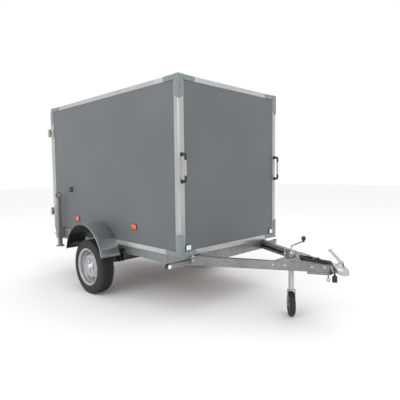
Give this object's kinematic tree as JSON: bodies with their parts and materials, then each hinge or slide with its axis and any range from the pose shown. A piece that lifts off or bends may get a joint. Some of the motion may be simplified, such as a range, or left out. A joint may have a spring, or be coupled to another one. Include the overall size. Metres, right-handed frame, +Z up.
{
  "type": "single-axle box trailer",
  "caption": "Enclosed single-axle panel trailer with rear double doors, bent A-frame drawbar, ball coupling, jockey wheel, prop stands and rubber suspension.",
  "frame": {"origin": "middle of the whole trailer's footprint on the ground, halfway between the coupling's nose and the rear lock handles", "axes": "+Z up, -Y towards the coupling, +X towards the left-hand side as seen by someone facing the coupling"},
  "size_m": [1.756, 3.368, 1.9425],
  "materials": {
    "floor_board": "phenolic-faced plywood, satin",
    "panel_coating": "resin-faced board, slate grey, satin",
    "anodised_profile": "anodised, satin",
    "cap_plastic": "grey-green, matt",
    "reflector_plastic": "prismatic, gloss",
    "lamp_plastic": "gloss",
    "black_plastic": "matt",
    "rubber": "matt",
    "galvanised": "hot-dip galvanised, spangled",
    "zinc_plate": "zinc plated",
    "axle_coating": "black, satin",
    "hub_metal": "pressed cap, bright",
    "wheel_silver": "silver lacquer, satin",
    "tyre_rubber": "matt"
  },
  "bodies": {
    "trailer": {"floor_panel": "floor_board", "wall_panels": "panel_coating", "roof_panel": "panel_coating", "front_posts": "anodised_profile", "rear_frame": "anodised_profile", "body_rails": "anodised_profile", "corner_caps": "cap_plastic", "front_handles": "anodised_profile", "reflectors": "reflector_plastic", "marker_lamps": "black_plastic", "rear_lamps": "lamp_plastic", "door_seal": "rubber", "hinge_brackets": "zinc_plate", "door_retainers": "black_plastic", "chassis_rail_left": "galvanised", "chassis_rail_right": "galvanised", "cross_members": "galvanised", "axle_beam": "axle_coating", "mudguards": "galvanised", "coupling_head": "zinc_plate", "drawbar_plates": "galvanised", "jockey_clamp": "galvanised", "stand_clamps": "galvanised", "cable_gland": "black_plastic", "cable": "rubber", "cable_hank": "rubber", "plug": "black_plastic"},
    "door_left": {"door_left_panel": "panel_coating", "door_left_frame": "anodised_profile", "door_left_hinges": "zinc_plate", "lock_left_case": "black_plastic"},
    "door_right": {"door_right_panel": "panel_coating", "door_right_frame": "anodised_profile", "door_right_hinges": "zinc_plate", "lock_right_case": "black_plastic"},
    "axle_arm_left": {"axle_arm_left": "axle_coating"},
    "axle_arm_right": {"axle_arm_right": "axle_coating"},
    "wheel_left": {"hub_left": "hub_metal", "rim_left": "wheel_silver", "tyre_left": "tyre_rubber"},
    "wheel_right": {"hub_right": "hub_metal", "rim_right": "wheel_silver", "tyre_right": "tyre_rubber"},
    "coupling_lever": {"coupling_lever": "zinc_plate"},
    "jockey_clamp_handle": {"jockey_clamp_handle": "zinc_plate"},
    "jockey_mast": {"jockey_outer_tube": "zinc_plate"},
    "jockey_inner": {"jockey_inner_tube": "zinc_plate"},
    "jockey_fork": {"jockey_fork": "zinc_plate"},
    "jockey_wheel": {"jockey_wheel": "rubber"},
    "jockey_crank": {"jockey_crank": "zinc_plate"},
    "stand_left_leg": {"stand_left_leg": "galvanised"},
    "stand_right_leg": {"stand_right_leg": "galvanised"},
    "stand_left_handle": {"stand_left_handle": "zinc_plate"},
    "stand_right_handle": {"stand_right_handle": "zinc_plate"},
    "lock_left_handle": {"lock_left_handle": "black_plastic"},
    "lock_left_top_rod": {"lock_left_top_rod": "zinc_plate"},
    "lock_left_bottom_rod": {"lock_left_bottom_rod": "zinc_plate"},
    "lock_right_handle": {"lock_right_handle": "black_plastic"},
    "lock_right_top_rod": {"lock_right_top_rod": "zinc_plate"},
    "lock_right_bottom_rod": {"lock_right_bottom_rod": "zinc_plate"}
  },
  "joints": [
    {"name": "door_left_swing", "type": "hinge", "parent": "trailer", "child": "door_left", "pos_m": [0.69, 1.648, 1.2], "axis": [0, 0, -1], "range_deg": [0, 200]},
    {"name": "lock_left_turn", "type": "hinge", "parent": "door_left", "child": "lock_left_handle", "pos_m": [0.095, 1.67, 1.12], "axis": [0, 1, 0], "range_deg": [0, 90]},
    {"name": "lock_left_top_rod_slide", "type": "slide", "parent": "door_left", "child": "lock_left_top_rod", "axis": [0, 0, 1], "range_m": [0, 0.0221]},
    {"name": "lock_left_bottom_rod_slide", "type": "slide", "parent": "door_left", "child": "lock_left_bottom_rod", "axis": [0, 0, -1], "range_m": [0, 0.0221]},
    {"name": "axle_left_swing", "type": "hinge", "parent": "trailer", "child": "axle_arm_left", "pos_m": [0.645, 0.4316, 0.3274], "axis": [1, 0, 0], "range_deg": [-8, 12], "stiffness_Nm_per_rad": 2600, "springref_deg": -4.87},
    {"name": "wheel_left_spin", "type": "hinge", "parent": "axle_arm_left", "child": "wheel_left", "pos_m": [0.774, 0.549, 0.265], "axis": [1, 0, 0], "continuous": true},
    {"name": "stand_left_slide", "type": "slide", "parent": "trailer", "child": "stand_left_leg", "axis": [0, 0, -1], "range_m": [0, 0.345]},
    {"name": "stand_left_screw", "type": "hinge", "parent": "trailer", "child": "stand_left_handle", "pos_m": [0.722, 1.43, 0.494], "axis": [0, 1, 0], "range_deg": [0, 180]},
    {"name": "door_right_swing", "type": "hinge", "parent": "trailer", "child": "door_right", "pos_m": [-0.69, 1.648, 1.2], "axis": [0, 0, 1], "range_deg": [0, 200]},
    {"name": "lock_right_turn", "type": "hinge", "parent": "door_right", "child": "lock_right_handle", "pos_m": [-0.095, 1.67, 1.12], "axis": [0, -1, 0], "range_deg": [0, 90]},
    {"name": "lock_right_top_rod_slide", "type": "slide", "parent": "door_right", "child": "lock_right_top_rod", "axis": [0, 0, 1], "range_m": [0, 0.0221]},
    {"name": "lock_right_bottom_rod_slide", "type": "slide", "parent": "door_right", "child": "lock_right_bottom_rod", "axis": [0, 0, -1], "range_m": [0, 0.0221]},
    {"name": "axle_right_swing", "type": "hinge", "parent": "trailer", "child": "axle_arm_right", "pos_m": [-0.645, 0.4316, 0.3274], "axis": [1, 0, 0], "range_deg": [-8, 12], "stiffness_Nm_per_rad": 2600, "springref_deg": -4.87},
    {"name": "wheel_right_spin", "type": "hinge", "parent": "axle_arm_right", "child": "wheel_right", "pos_m": [-0.774, 0.549, 0.265], "axis": [1, 0, 0], "continuous": true},
    {"name": "stand_right_slide", "type": "slide", "parent": "trailer", "child": "stand_right_leg", "axis": [0, 0, -1], "range_m": [0, 0.345]},
    {"name": "stand_right_screw", "type": "hinge", "parent": "trailer", "child": "stand_right_handle", "pos_m": [-0.722, 1.43, 0.494], "axis": [0, 1, 0], "range_deg": [0, 180]},
    {"name": "coupling_lever_lift", "type": "hinge", "parent": "trailer", "child": "coupling_lever", "pos_m": [0, -1.624, 0.504], "axis": [1, 0, 0], "range_deg": [0, 50]},
    {"name": "jockey_clamp_screw", "type": "hinge", "parent": "trailer", "child": "jockey_clamp_handle", "pos_m": [0, -1.148, 0.5], "axis": [0, 1, 0], "range_deg": [0, 180]},
    {"name": "jockey_mast_slide", "type": "slide", "parent": "trailer", "child": "jockey_mast", "axis": [0, 0, 1], "range_m": [0, 0.24]},
    {"name": "jockey_crank_turn", "type": "hinge", "parent": "jockey_mast", "child": "jockey_crank", "pos_m": [0, -1.21, 0.575], "axis": [0, 0, 1], "range_deg": [0, 6750]},
    {"name": "jockey_inner_slide", "type": "slide", "parent": "jockey_mast", "child": "jockey_inner", "axis": [0, 0, -1], "range_m": [0, 0.1501]},
    {"name": "jockey_swivel", "type": "hinge", "parent": "jockey_inner", "child": "jockey_fork", "pos_m": [0, -1.21, 0.22], "axis": [0, 0, 1], "continuous": true},
    {"name": "jockey_wheel_spin", "type": "hinge", "parent": "jockey_fork", "child": "jockey_wheel", "pos_m": [0, -1.21, 0.1], "axis": [0.6428, -0.766, 0], "continuous": true}
  ],
  "couplings": [
    {"joint": "lock_left_top_rod_slide", "follows": "lock_left_turn", "m_per_rad": 0.014006},
    {"joint": "lock_left_bottom_rod_slide", "follows": "lock_left_turn", "m_per_rad": 0.014006},
    {"joint": "lock_right_top_rod_slide", "follows": "lock_right_turn", "m_per_rad": 0.014006},
    {"joint": "lock_right_bottom_rod_slide", "follows": "lock_right_turn", "m_per_rad": 0.014006},
    {"joint": "jockey_inner_slide", "follows": "jockey_crank_turn", "m_per_rad": 0.0012732}
  ]
}
